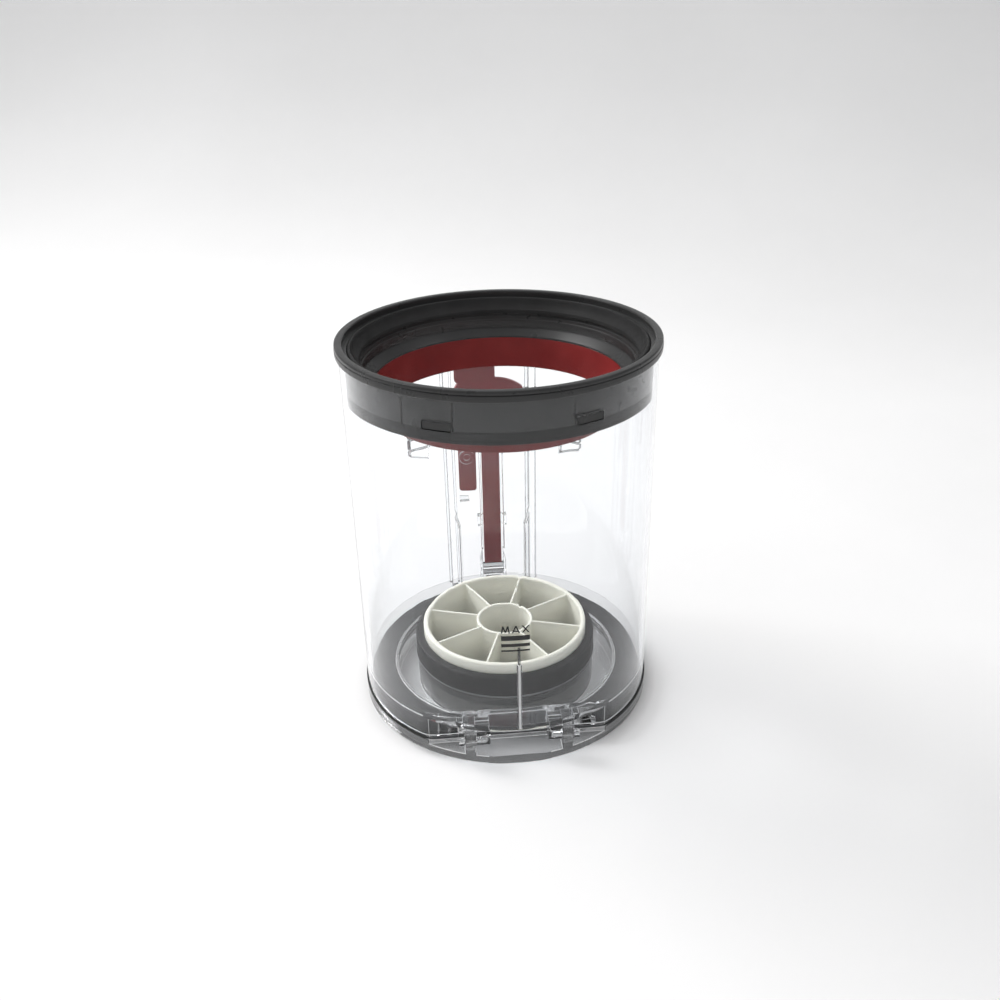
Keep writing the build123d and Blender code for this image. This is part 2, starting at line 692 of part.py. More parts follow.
def door_plate():
    """Smoky base door: flange, D-shaped raised ring, floor, cup collar and hinge knuckles."""
    door = drum(flange_radius, 0, FLANGE_HEIGHT)
    door = chamfer(door.edges().group_by(Axis.Z)[0], FLANGE_CHAMFER)
    width = (-flange_radius, flange_radius)
    apron_gap = (-2 * flange_radius, -recess_outer - EDGE_SEAL_GAP)
    door -= block(width, apron_gap, (APRON_HEIGHT, FLANGE_HEIGHT))
    door += d_prism(spigot_outer, flat_outer, 0, spigot_top)
    ridge_outer = (spigot_inner + RIDGE_WIDTH, flat_inner + RIDGE_WIDTH)
    door += d_prism(*ridge_outer, 0, spigot_top + RIDGE_RISE)
    door -= d_prism(spigot_inner, flat_inner, DOOR_FLOOR, spigot_top + RIDGE_RISE)
    core_outer = (spigot_outer - SPIGOT_WALL, flat_outer - SPIGOT_WALL)
    core_inner = (spigot_inner + SPIGOT_WALL, flat_inner + SPIGOT_WALL)
    door -= d_ring(core_outer, core_inner, 0, spigot_top - SPIGOT_WALL)
    door += drum(collar_outer, 0, collar_top) - drum(collar_inner, DOOR_FLOOR, collar_top)
    finger_depth = (-2 * flange_radius, -flange_radius + FINGER_DEPTH)
    door -= block((-FINGER_WIDTH / 2, FINGER_WIDTH / 2), finger_depth, (FINGER_SILL, FLANGE_HEIGHT))
    shelf_half = latch_outer + LATCH_SHELF_MARGIN
    shelf = block((-shelf_half, shelf_half), (0, latch_back), (0, LATCH_SHELF))
    door += shelf - drum(TUBE_RADIUS, 0, LATCH_SHELF)
    return door + door_knuckles()


def door_knuckles():
    """Two knuckles on arms that rise from the door's apron, bored for the hinge pins."""
    span = (knuckle_start, knuckle_start + KNUCKLE_WIDTH)
    barrel = cross_pin(LUG_RADIUS, span, pin_y, PIN_HEIGHT)
    arm = block(span, (pin_y - LUG_RADIUS, pin_y + LUG_RADIUS), (APRON_HEIGHT / 2, PIN_HEIGHT))
    arm &= drum(flange_radius, 0, BIN_HEIGHT)
    bore = cross_pin(PIN_RADIUS + PIN_RUNNING, span, pin_y, PIN_HEIGHT)
    return both_sides(barrel + arm - bore)


def door_rim_seal():
    """Soft ring on the door's raised ring, with a chamfered lip and a skirt down the ring's outer side."""
    outer = (spigot_outer + RIM_SEAL_LIP, flat_outer + RIM_SEAL_LIP_FRONT)
    inner = (spigot_inner + RIDGE_WIDTH + RIM_SEAL_FIT, flat_inner + RIDGE_WIDTH + RIM_SEAL_FIT)
    seal = d_ring(outer, inner, spigot_top, spigot_top + RIM_SEAL_HEIGHT)
    top = seal.faces().sort_by(Axis.Z)[-1]
    seal = chamfer(top.outer_wire().edges(), RIM_SEAL_CHAMFER)
    return seal + d_ring(outer, (spigot_outer, flat_outer), FLANGE_HEIGHT, spigot_top)


def door_edge_seal():
    """Thin seal on the flange under the tube's lower end."""
    outer = (flange_radius, recess_outer + EDGE_SEAL_GAP)
    inner = (flange_radius - EDGE_SEAL_WIDTH, recess_outer + EDGE_SEAL_GAP - EDGE_SEAL_WIDTH)
    return d_ring(outer, inner, FLANGE_HEIGHT, FLANGE_HEIGHT + EDGE_SEAL_HEIGHT)


def door_latch():
    """Clear loop on the door's back: two posts with slanted tops, a release bar and a hook bar."""
    flare = LATCH_HEIGHT - LATCH_FLARE
    post_outline = [
        (latch_inner, LATCH_SHELF),
        (latch_outer, LATCH_SHELF),
        (latch_outer, flare),
        (latch_inner, LATCH_HEIGHT),
    ]
    posts = both_sides(standing_outline(post_outline, latch_front, latch_back))
    width = (-latch_outer, latch_outer)
    foot = block(width, (flange_radius, latch_back), (LATCH_SHELF, LATCH_SHELF + LATCH_FOOT))
    bar = block(width, (latch_bar_front, latch_back), (LATCH_BAR_HIGH - LATCH_BAR_HEIGHT, LATCH_BAR_HIGH))
    hook_depth = (tooth_back + HOOK_GAP, latch_back)
    hook = block(width, hook_depth, (LATCH_HOOK_HIGH - LATCH_HOOK_HEIGHT, LATCH_HOOK_HIGH))
    return posts + foot + bar + hook


def dust_cup_sleeve():
    """Soft sleeve on the collar, with a skirt inside it and a bevelled top."""
    return revolved([
        (sleeve_inner, collar_top - SLEEVE_SKIRT_DEPTH),
        (sleeve_inner + SLEEVE_SKIRT, collar_top - SLEEVE_SKIRT_DEPTH),
        (sleeve_inner + SLEEVE_SKIRT, collar_top),
        (sleeve_outer, collar_top),
        (sleeve_outer, sleeve_top - SLEEVE_BEVEL),
        (sleeve_outer - SLEEVE_BEVEL, sleeve_top),
        (sleeve_inner, sleeve_top),
    ])


def vane_insert():
    """Cup with a hub and radial vanes, thinner at the top, between the hub and the wall."""
    inner = insert_radius - INSERT_WALL
    floor_top = DOOR_FLOOR + INSERT_FLOOR
    vane_top = insert_top - VANE_DROP
    cup = drum(insert_radius, DOOR_FLOOR, insert_top) - drum(inner, floor_top, insert_top)
    cup = chamfer(cup.edges().group_by(Axis.Z)[-1], INSERT_CHAMFER)
    section = [
        (-VANE_BASE_WIDTH / 2, DOOR_FLOOR),
        (VANE_BASE_WIDTH / 2, DOOR_FLOOR),
        (VANE_TOP_WIDTH / 2, vane_top),
        (-VANE_TOP_WIDTH / 2, vane_top),
    ]
    vane = standing_outline(section, -inner - INSERT_WALL / 2, -HUB_RADIUS + HUB_WALL / 2)
    for vane_copy in around_axis(vane, [VANE_PHASE + 360 / VANE_COUNT * n for n in range(VANE_COUNT)]):
        cup += vane_copy
    hub = drum(HUB_RADIUS, DOOR_FLOOR, vane_top) - drum(HUB_RADIUS - HUB_WALL, floor_top, vane_top)
    return cup + hub


def hinge_pin(side):
    """Pin of one hinge: side is 1 for the right and -1 for the left."""
    pin = cross_pin(PIN_RADIUS, (pin_start, pin_end), pin_y, PIN_HEIGHT)
    return pin if side > 0 else mirror(pin, about=Plane.YZ)


def main():
    pieces = {
        "bin_tube": bin_tube(),
        "mouth_ring": mouth_ring(),
        "mouth_lip_seal": mouth_lip_seal(),
        "ring_lower_seal": ring_lower_seal(),
        "wiper_clamp_ring": wiper_clamp_ring(),
        "shroud_wiper": shroud_wiper(),
        "release_lever": release_lever(),
        "push_rod": push_rod(),
        "rod_keeper": rod_keeper(),
        "lever_spring": lever_spring(),
        "door_plate": door_plate(),
        "door_rim_seal": door_rim_seal(),
        "door_edge_seal": door_edge_seal(),
        "door_latch": door_latch(),
        "dust_cup_sleeve": dust_cup_sleeve(),
        "vane_insert": vane_insert(),
        "hinge_pin_left": hinge_pin(-1),
        "hinge_pin_right": hinge_pin(1),
    }
    os.makedirs("parts", exist_ok=True)
    for name, piece in pieces.items():
        export_step(piece, f"parts/{name}.step")


main()
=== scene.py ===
import json
import math

import bmesh
import bpy
from mathutils import Matrix, Vector


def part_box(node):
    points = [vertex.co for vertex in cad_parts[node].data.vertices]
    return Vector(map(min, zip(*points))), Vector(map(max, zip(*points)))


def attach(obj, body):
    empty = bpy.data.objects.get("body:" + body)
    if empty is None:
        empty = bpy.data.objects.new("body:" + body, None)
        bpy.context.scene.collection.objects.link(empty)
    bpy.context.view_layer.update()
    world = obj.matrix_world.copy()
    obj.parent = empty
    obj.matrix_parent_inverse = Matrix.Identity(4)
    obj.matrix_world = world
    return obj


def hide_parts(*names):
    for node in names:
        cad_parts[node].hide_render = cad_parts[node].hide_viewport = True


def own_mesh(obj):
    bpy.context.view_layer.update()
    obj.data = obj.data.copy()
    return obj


# Clear cyclone dust bin: rounded meshes for its pieces, their materials, a pale stage and the camera.
# Metres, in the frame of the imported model: hinge at -Y, release lever at +Y, +Z up.

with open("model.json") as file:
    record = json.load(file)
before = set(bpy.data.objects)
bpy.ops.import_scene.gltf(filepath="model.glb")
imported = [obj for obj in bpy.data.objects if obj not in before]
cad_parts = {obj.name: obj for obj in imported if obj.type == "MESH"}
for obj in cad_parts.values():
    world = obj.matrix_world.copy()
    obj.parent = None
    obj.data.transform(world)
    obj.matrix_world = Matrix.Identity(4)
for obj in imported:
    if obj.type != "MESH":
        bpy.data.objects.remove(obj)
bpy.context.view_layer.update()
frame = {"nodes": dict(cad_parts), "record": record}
nodes = frame["nodes"]
MM = 0.001

# Meshing
LATHE_STEPS = 256
CORNER_STEPS = 4
WELD = 1e-6
FLAT_ANGLE = math.radians(0.4)
BEVEL_ANGLE = math.radians(28)
SHARP_ANGLE = math.radians(40)
ROUND_WALL = math.cos(math.radians(2.5))
BEVEL_ROOM = 1.6
MOST_OF_A_SIDE = 0.49

# Part of a noise's range that its two ends are spread over
NOISE_LOW = 0.3
NOISE_HIGH = 0.7

# Order of a piece's materials: its faces, its rounded edges (painted shade on the clear and smoky pieces),
# its bright lines of painted highlight and its faces with painted shade
FACE, EDGE, LINE, SHADE = range(4)

# Camera, solved from the photograph's circles
CAMERA_PLACE = Vector((-29.63, -352.81, 262.62)) * MM
CAMERA_TARGET = Vector((-0.758, 0.064, 82.156)) * MM
CAMERA_ROLL = -0.023
CAMERA_LENS = 36.71
CAMERA_SENSOR = 36.0


def link(obj):
    """Puts a new object in the scene."""
    bpy.context.scene.collection.objects.link(obj)
    return obj


def mesh_object(name, verts, faces):
    """New mesh object with welded points, outward faces and smooth shading."""
    mesh = bpy.data.meshes.new(name)
    mesh.from_pydata([tuple(v) for v in verts], [], faces)
    bm = bmesh.new()
    bm.from_mesh(mesh)
    bmesh.ops.remove_doubles(bm, verts=bm.verts, dist=WELD)
    bmesh.ops.recalc_face_normals(bm, faces=bm.faces)
    bm.to_mesh(mesh)
    bm.free()
    smooth(mesh)
    return link(bpy.data.objects.new(name, mesh))


def smooth(mesh):
    """Smooth shading, with edges above the sharp angle kept crisp."""
    mesh.shade_smooth()
    mesh.set_sharp_from_angle(angle=SHARP_ANGLE)


def rounded(outline):
    """Closed outline from (across, up, corner radius) points in mm, with an arc at each corner, in metres."""
    points = [Vector(p[:2]) * MM for p in outline]
    result = []
    for i, corner in enumerate(points):
        before = points[i - 1] - corner
        after = points[(i + 1) % len(points)] - corner
        reach = min(outline[i][2] * MM, MOST_OF_A_SIDE * before.length, MOST_OF_A_SIDE * after.length)
        if reach == 0:
            result.append(corner)
            continue
        start = corner + before.normalized() * reach
        end = corner + after.normalized() * reach
        for step in range(CORNER_STEPS + 1):
            t = step / CORNER_STEPS
            result.append(start * (1 - t) ** 2 + corner * 2 * t * (1 - t) + end * t ** 2)
    return result


def lathe(name, outline):
    """Ring turned about Z from a closed outline of (radius, height, corner radius) points in mm."""
    section = rounded(outline)
    count = len(section)
    verts = []
    faces = []
    for step in range(LATHE_STEPS):
        angle = 2 * math.pi * step / LATHE_STEPS
        verts += [(r * math.sin(angle), -r * math.cos(angle), z) for r, z in section]
        here = step * count
        there = (step + 1) % LATHE_STEPS * count
        for i in range(count):
            j = (i + 1) % count
            faces.append((here + i, here + j, there + j, there + i))
    return mesh_object(name, verts, faces)


def prism(name, outline, y_low, y_high):
    """Straight prism along Y from a closed outline of (x, z, corner radius) points in mm."""
    section = rounded(outline)
    count = len(section)
    verts = [(x, y * MM, z) for y in (y_low, y_high) for x, z in section]
    faces = [(i, (i + 1) % count, count + (i + 1) % count, count + i) for i in range(count)]
    faces.append(tuple(range(count)))
    faces.append(tuple(range(count, 2 * count)))
    return mesh_object(name, verts, faces)


def turn(obj, angle):
    """Turns an object's mesh about the tube's axis, by degrees from the front towards +X."""
    obj.data.transform(Matrix.Rotation(math.radians(angle), 4, "Z"))
    return obj


def apply_modifiers(piece):
    """Turns a piece's modifiers into its mesh."""
    depsgraph = bpy.context.evaluated_depsgraph_get()
    mesh = bpy.data.meshes.new_from_object(piece.evaluated_get(depsgraph), depsgraph=depsgraph)
    piece.modifiers.clear()
    piece.data = mesh


def combine(piece, others, operation):
    """Joins other solids to a piece (UNION) or cuts them out of it (DIFFERENCE)."""
    for other in others:
        modifier = piece.modifiers.new("combine", "BOOLEAN")
        modifier.operation = operation
        modifier.solver = "EXACT"
        modifier.object = other
    apply_modifiers(piece)
    for other in others:
        bpy.data.objects.remove(other)
    smooth(piece.data)
    return piece


def sharp_chains(bm, room):
    """Connected runs of sharp edges that have room around them to be rounded."""
    for edge in bm.edges:
        around = [other for vert in edge.verts for other in vert.link_edges]
        edge.tag = edge.calc_face_angle(0) > BEVEL_ANGLE and min(e.calc_length() for e in around) > room
    chains = []
    for first in bm.edges:
        if not first.tag:
            continue
        first.tag = False
        chain = [first]
        for edge in chain:
            for other in [e for vert in edge.verts for e in vert.link_edges if e.tag]:
                other.tag = False
                chain.append(other)
        chains.append(chain)
    return chains


def rounded_copy(node, name, width):
    """Copy of a CAD node's mesh with clean flats and rounded edges, whose faces take the second material."""
    piece = link(bpy.data.objects.new(name, nodes[node].data.copy()))
    bm = bmesh.new()
    bm.from_mesh(piece.data)
    bmesh.ops.remove_doubles(bm, verts=bm.verts, dist=WELD)
    bmesh.ops.join_triangles(bm, faces=bm.faces, angle_face_threshold=FLAT_ANGLE,
                             angle_shape_threshold=math.pi)
    bmesh.ops.recalc_face_normals(bm, faces=bm.faces)
    for face in bm.faces:
        face.material_index = FACE
    for chain in sharp_chains(bm, BEVEL_ROOM * width * MM):
        bmesh.ops.bevel(bm, geom=chain, offset=width * MM, offset_type="OFFSET", segments=2, profile=0.5,
                        affect="EDGES", clamp_overlap=True, loop_slide=True, material=EDGE)
    bm.to_mesh(piece.data)
    bm.free()
    smooth(piece.data)
    normals = piece.modifiers.new("normals", "WEIGHTED_NORMAL")
    normals.keep_sharp = True
    apply_modifiers(piece)
    true_round(piece.data)
    return piece


def tint(piece, choose):
    """A rule picks each face's material by its middle, in mm, its normal and whether it is an edge."""
    for face in piece.data.polygons:
        face.material_index = choose(face.center / MM, face.normal, face.material_index == EDGE)


def true_round(mesh):
    """Walls that are round about the tube's axis get exactly radial normals."""
    normals = [loop.normal.copy() for loop in mesh.loops]
    for face in mesh.polygons:
        out = Vector((face.center.x, face.center.y, 0)).normalized()
        facing = face.normal.dot(out)
        if abs(facing) < ROUND_WALL:
            continue
        for index in face.loop_indices:
            place = mesh.vertices[mesh.loops[index].vertex_index].co
            normals[index] = Vector((place.x, place.y, 0)).normalized() * (1 if facing > 0 else -1)
    mesh.normals_split_custom_set(normals)


def radii(node):
    """A round node's outer radius, lowest and highest points, in mm."""
    low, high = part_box(node)
    return high.x / MM, low.z / MM, high.z / MM


def dress(piece, node, body, slot, *materials):
    """The piece stands for a CAD node, rides on its body and takes its materials."""
    indices = [face.material_index for face in piece.data.polygons]
    piece.data.materials.clear()
    for material in materials:
        piece.data.materials.append(material)
    piece.data.polygons.foreach_set("material_index", [min(i, len(materials) - 1) for i in indices])
    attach(piece, body)
    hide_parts(node)
    return piece


class Shader:
    """Node tree of one material: a Principled shader and the noise that varies it."""

    def __init__(self, name, **values):
        self.material = bpy.data.materials.new(name)
        self.material.use_nodes = True
        self.tree = self.material.node_tree
        self.shader = self.tree.nodes["Principled BSDF"]
        self.output = self.tree.nodes["Material Output"]
        for key, value in values.items():
            self.shader.inputs[key.replace("_", " ")].default_value = value
        self.place = self.tree.nodes.new("ShaderNodeTexCoord").outputs["Object"]

    def noise(self, scale, detail=2.0):
        """Noise in the object's own space, so many features to a metre."""
        node = self.tree.nodes.new("ShaderNodeTexNoise")
        node.inputs["Scale"].default_value = scale
        node.inputs["Detail"].default_value = detail
        self.tree.links.new(self.place, node.inputs["Vector"])
        return node.outputs["Fac"]

    def vary(self, socket, source, low, high):
        """Runs a number socket between two values by a noise."""
        node = self.tree.nodes.new("ShaderNodeMapRange")
        node.inputs["From Min"].default_value = NOISE_LOW
        node.inputs["From Max"].default_value = NOISE_HIGH
        node.inputs["To Min"].default_value = low
        node.inputs["To Max"].default_value = high
        self.tree.links.new(source, node.inputs["Value"])
        self.tree.links.new(node.outputs["Result"], self.shader.inputs[socket])

    def blend(self, source, first, second):
        """Base colour between two colours by a noise."""
        node = self.tree.nodes.new("ShaderNodeValToRGB")
        node.color_ramp.elements[0].position = NOISE_LOW
        node.color_ramp.elements[1].position = NOISE_HIGH
        node.color_ramp.elements[0].color = first
        node.color_ramp.elements[1].color = second
        self.tree.links.new(source, node.inputs["Fac"])
        self.tree.links.new(node.outputs["Color"], self.shader.inputs["Base Color"])

    def paint_depth_shade(self, low, high, level):
        """Painted shade: base colour falls to a share of itself from one height down to another, in mm."""
        height = self.tree.nodes.new("ShaderNodeSeparateXYZ")
        self.tree.links.new(self.place, height.inputs["Vector"])
        share = self.tree.nodes.new("ShaderNodeMapRange")
        share.inputs["From Min"].default_value = low * MM
        share.inputs["From Max"].default_value = high * MM
        share.inputs["To Min"].default_value = level
        share.inputs["To Max"].default_value = 1.0
        self.tree.links.new(height.outputs["Z"], share.inputs["Value"])
        scale = self.tree.nodes.new("ShaderNodeVectorMath")
        scale.operation = "SCALE"
        colour = self.shader.inputs["Base Color"]
        self.tree.links.new(colour.links[0].from_socket, scale.inputs["Vector"])
        self.tree.links.new(share.outputs["Result"], scale.inputs["Scale"])
        self.tree.links.new(scale.outputs["Vector"], colour)

    def bump(self, source, strength, depth):
        """Fine relief by a noise, with its depth in metres."""
        node = self.tree.nodes.new("ShaderNodeBump")
        node.inputs["Strength"].default_value = strength
        node.inputs["Distance"].default_value = depth
        self.tree.links.new(source, node.inputs["Height"])
        self.tree.links.new(node.outputs["Normal"], self.shader.inputs["Normal"])

    def lets_light_through(self, tint):
        """Lamp light and bounced light pass straight through clear plastic, with a tint at each face."""
        path = self.tree.nodes.new("ShaderNodeLightPath")
        clear = self.tree.nodes.new("ShaderNodeBsdfTransparent")
        clear.inputs["Color"].default_value = tint
        surface = self.shader.outputs["BSDF"]
        for ray in ("Is Shadow Ray", "Is Diffuse Ray"):
            mix = self.tree.nodes.new("ShaderNodeMixShader")
            self.tree.links.new(path.outputs[ray], mix.inputs["Fac"])
            self.tree.links.new(surface, mix.inputs[1])
            self.tree.links.new(clear.outputs["BSDF"], mix.inputs[2])
            surface = mix.outputs["Shader"]
        self.tree.links.new(surface, self.output.inputs["Surface"])


def grey(level, warmth=0.0):
    """Opaque near-neutral colour."""
    return (level * (1 + warmth), level, level * (1 - warmth), 1.0)


def clear_plastic(name, tint_level):
    """Clear moulded plastic; the tint darkens what is seen through it."""
    shader = Shader(name, Base_Color=grey(tint_level, -0.01), IOR=1.49, Transmission_Weight=1.0,
                    Specular_Tint=grey(0.55))
    shader.vary("Roughness", shader.noise(35.0), 0.0, 0.015)
    shader.bump(shader.noise(28.0), 0.02, 0.0003)
    shader.lets_light_through((0.965, 0.97, 0.975, 1.0))
    return shader.material


def painted_highlight_line():
    """Painted highlight: a rounded edge of clear plastic, pale and partly opaque, standing in for the light
    it catches.
    """
    shader = Shader("painted_highlight_line", IOR=1.49, Transmission_Weight=0.35)
    shader.blend(shader.noise(300.0), grey(0.86), grey(0.92))
    shader.vary("Roughness", shader.noise(120.0), 0.15, 0.3)
    shader.lets_light_through((0.95, 0.955, 0.96, 1.0))
    return shader.material


def smoky_plastic(name, tint_level, clearness):
    """Smoky moulded plastic; the tint darkens what is seen through it."""
    shader = Shader(name, Base_Color=grey(tint_level, -0.005), IOR=1.49, Transmission_Weight=clearness,
                    Specular_Tint=grey(0.7))
    shader.vary("Roughness", shader.noise(35.0), 0.0, 0.03)
    shader.bump(shader.noise(28.0), 0.03, 0.0004)
    shader.lets_light_through((0.96, 0.963, 0.966, 1.0))
    return shader.material


def ring_plastic():
    shader = Shader("ring_plastic", IOR=1.46, Specular_IOR_Level=0.45)
    shader.blend(shader.noise(60.0, 4.0), grey(0.028), grey(0.035))
    shader.vary("Roughness", shader.noise(180.0, 5.0), 0.26, 0.34)
    shader.bump(shader.noise(900.0, 2.0), 0.03, 0.00003)
    return shader.material


def black_rubber():
    shader = Shader("black_rubber", IOR=1.42, Specular_IOR_Level=0.3)
    shader.blend(shader.noise(90.0, 4.0), grey(0.018), grey(0.025))
    shader.vary("Roughness", shader.noise(240.0, 4.0), 0.5, 0.66)
    shader.bump(shader.noise(3200.0, 3.0), 0.12, 0.00006)
    return shader.material


def grey_rubber(name, level):
    shader = Shader(name, IOR=1.42, Specular_IOR_Level=0.25)
    shader.blend(shader.noise(90.0, 4.0), grey(0.9 * level, -0.02), grey(1.1 * level, -0.02))
    shader.vary("Roughness", shader.noise(240.0, 4.0), 0.45, 0.6)
    shader.bump(shader.noise(3200.0, 3.0), 0.1, 0.00006)
    return shader.material


def red_silicone():
    shader = Shader("red_silicone", IOR=1.42, Subsurface_Weight=0.08, Subsurface_Scale=0.002)
    shader.blend(shader.noise(70.0, 3.0), (0.15, 0.012, 0.012, 1.0), (0.19, 0.017, 0.016, 1.0))
    shader.vary("Roughness", shader.noise(200.0, 4.0), 0.38, 0.5)
    shader.bump(shader.noise(2800.0, 3.0), 0.06, 0.00005)
    return shader.material


def red_plastic():
    shader = Shader("red_plastic", IOR=1.48)
    shader.blend(shader.noise(60.0, 3.0), (0.24, 0.024, 0.028, 1.0), (0.29, 0.031, 0.036, 1.0))
    shader.vary("Roughness", shader.noise(220.0, 4.0), 0.3, 0.42)
    shader.bump(shader.noise(2400.0, 2.0), 0.05, 0.00004)
    return shader.material


def cream_plastic():
    shader = Shader("cream_plastic", IOR=1.46, Subsurface_Weight=0.1, Subsurface_Scale=0.0015,
                    Subsurface_Radius=(1.0, 0.9, 0.8))
    shader.blend(shader.noise(45.0, 4.0), (0.86, 0.855, 0.765, 1.0), (0.9, 0.895, 0.8, 1.0))
    # Painted shade: the cream darkens to 0.42 of itself from 24 mm down to 5 mm, for the shade deep in the
    # cup's pockets
    shader.paint_depth_shade(5.0, 24.0, 0.42)
    shader.vary("Roughness", shader.noise(260.0, 4.0), 0.36, 0.5)
    shader.bump(shader.noise(2200.0, 3.0), 0.05, 0.00005)
    return shader.material


def steel():
    shader = Shader("steel", Metallic=1.0)
    shader.blend(shader.noise(300.0, 4.0), grey(0.52), grey(0.62))
    shader.vary("Roughness", shader.noise(900.0, 3.0), 0.2, 0.32)
    return shader.material


def print_ink():
    shader = Shader("print_ink", IOR=1.45)
    shader.blend(shader.noise(400.0, 4.0), grey(0.012), grey(0.02))
    shader.vary("Roughness", shader.noise(700.0, 3.0), 0.4, 0.55)
    return shader.material


CLEAR = clear_plastic("clear_plastic", 0.985)
# Painted shade: dark grey clear plastic on rounded edges, the latch's bars and the spine's flanks, standing
# in for the dark lines at clear plastic's edges
CLEAR_EDGE_PAINTED_SHADE = clear_plastic("clear_edge_painted_shade", 0.28)
# Painted shade: grey clear plastic on the skirt's inner wall, for the shade of the parts behind it
CLEAR_PAINTED_SHADE = clear_plastic("clear_painted_shade", 0.72)
# Painted highlight: pale lines on edges of the clear tube and smoky door, on the spine's crest and round the
# boss
PAINTED_HIGHLIGHT_LINE = painted_highlight_line()
SMOKY = smoky_plastic("smoky_plastic", 0.9, 0.86)
# Painted shade: darker smoky plastic on the door's flange and collar walls and on its apron
SMOKY_PAINTED_SHADE = smoky_plastic("smoky_painted_shade", 0.38, 0.8)
# Painted shade: near-black smoky plastic on the flange's upper edges, widening the dark line where tube and
# door meet
SMOKY_EDGE_PAINTED_SHADE = smoky_plastic("smoky_edge_painted_shade", 0.15, 0.8)
RING = ring_plastic()
BLACK_RUBBER = black_rubber()
GREY_RUBBER = grey_rubber("grey_rubber", 0.029)
# The door rim seal's own grey, also painted light on the black edge seal along the hinge's flat
SEAL_RUBBER_AND_PAINTED_LIGHT = grey_rubber("seal_rubber_and_painted_light", 0.06)
# Painted highlight: pale rubber on the lip at the sleeve's foot
PAINTED_HIGHLIGHT_RUBBER = grey_rubber("painted_highlight_rubber", 0.22)
RED_SILICONE = red_silicone()
RED_PLASTIC = red_plastic()
CREAM = cream_plastic()
STEEL = steel()
INK = print_ink()

# Radii and heights of the round pieces, in mm
TUBE_RADIUS, TUBE_LOW, TUBE_TOP = radii("bin_tube")
RIM_RADIUS, BAND_LOW, RIM_TOP = radii("mouth_ring")
LIP_RADIUS, LIP_LOW, LIP_TOP = radii("mouth_lip_seal")
BAND_RADIUS, LOWER_SEAL_LOW, LOWER_SEAL_TOP = radii("ring_lower_seal")
CLAMP_RADIUS, CLAMP_LOW, CLAMP_TOP = radii("wiper_clamp_ring")
WIPER_RADIUS, WIPER_LOW, WIPER_TOP = radii("shroud_wiper")
SLEEVE_RADIUS, SLEEVE_LOW, SLEEVE_TOP = radii("dust_cup_sleeve")
INSERT_RADIUS, INSERT_LOW, INSERT_TOP = radii("vane_insert")

THROAT = frame["record"]["mounts"][1]["dims"]["r_mm"]
LEDGE = THROAT - 4.0
WIPER_FLANGE = WIPER_TOP - 1.4

# Places on the tube and the door, in mm
SKIRT_TOP = TUBE_LOW + 8.5
BRIGHT_TOP = SKIRT_TOP + 2.5
SPINE_TOP = 45.8
SPINE_HALF = 1.0
SPINE_FOOT = 0.05
HINGE_FLAT = TUBE_RADIUS - 10.8
HINGE_HALF = 33.5
SEAL_FLAT = 2.0
BOSS_X = -10.8
BOSS_Z = 75.6
BOSS_RADIUS = 3.5
FLANGE_INNER = TUBE_RADIUS - 1.5
FLANGE_EDGE = TUBE_LOW - 2.5
COLLAR_DEPTH = 3.0
LATCH_POST = 1.3

# Parts of a unit normal that tell flanks, walls and tops from each other
FLANK = 0.35
HALF = 0.5
BOSS_SIDE = 0.7
WALL = 0.9


def tube_face(middle, normal, edge):
    """Painted shade on the edges above and painted highlights on the edges near the hinge, a painted
    highlight on the spine's crest and the boss's side wall, painted shade on the spine's flanks and upper
    end, and painted shade on the skirt's inner wall.
    """
    spine = abs(middle.x) < SPINE_HALF and middle.y < -TUBE_RADIUS - SPINE_FOOT
    if spine:
        return EDGE if middle.z > SPINE_TOP or abs(normal.x) > FLANK else LINE
    boss = (middle.x - BOSS_X) ** 2 + (middle.z - BOSS_Z) ** 2 < BOSS_RADIUS ** 2 and middle.y > 0
    if boss:
        return LINE if abs(normal.y) < BOSS_SIDE else FACE
    if edge:
        low = middle.z < BRIGHT_TOP and middle.y < 0
        window = middle.z > BAND_LOW
        return LINE if low else FACE if window else EDGE
    skirt = middle.z < SKIRT_TOP + 0.1 and abs(normal.z) < HALF
    inside = Vector(middle.xy).dot(Vector(normal.xy)) < 0
    return SHADE if skirt and inside else FACE


def latch_face(middle, normal, edge):
    """Painted shade on the bars between the latch's two posts and on its rounded edges."""
    bar = abs(middle.x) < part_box("door_latch")[1].x / MM - LATCH_POST and normal.y < HALF
    return EDGE if edge or bar else FACE


def door_face(middle, normal, edge):
    """Painted highlights on the edges but for the flange's upper one, which has painted shade, and painted
    shade on the flange and collar walls and the apron.
    """
    radius = middle.xy.length
    flange = radius > FLANGE_INNER
    if edge:
        return EDGE if flange and middle.z > FLANGE_EDGE else LINE
    wall = abs(normal.z) < WALL
    collar = SLEEVE_RADIUS - COLLAR_DEPTH < radius < SLEEVE_RADIUS
    apron = middle.y < -HINGE_FLAT and normal.z > HALF
    return SHADE if apron or wall and (flange or collar) else FACE


def edge_seal_face(middle, normal, edge):
    """Painted light: the black seal is painted grey along the hinge's flat, where it lies in the shade of the
    recess.
    """
    return EDGE if middle.y < -HINGE_FLAT + SEAL_FLAT and abs(middle.x) < HINGE_HALF else FACE


FACE_RULES = {
    "bin_tube": tube_face,
    "door_latch": latch_face,
    "door_plate": door_face,
    "door_edge_seal": edge_seal_face,
}


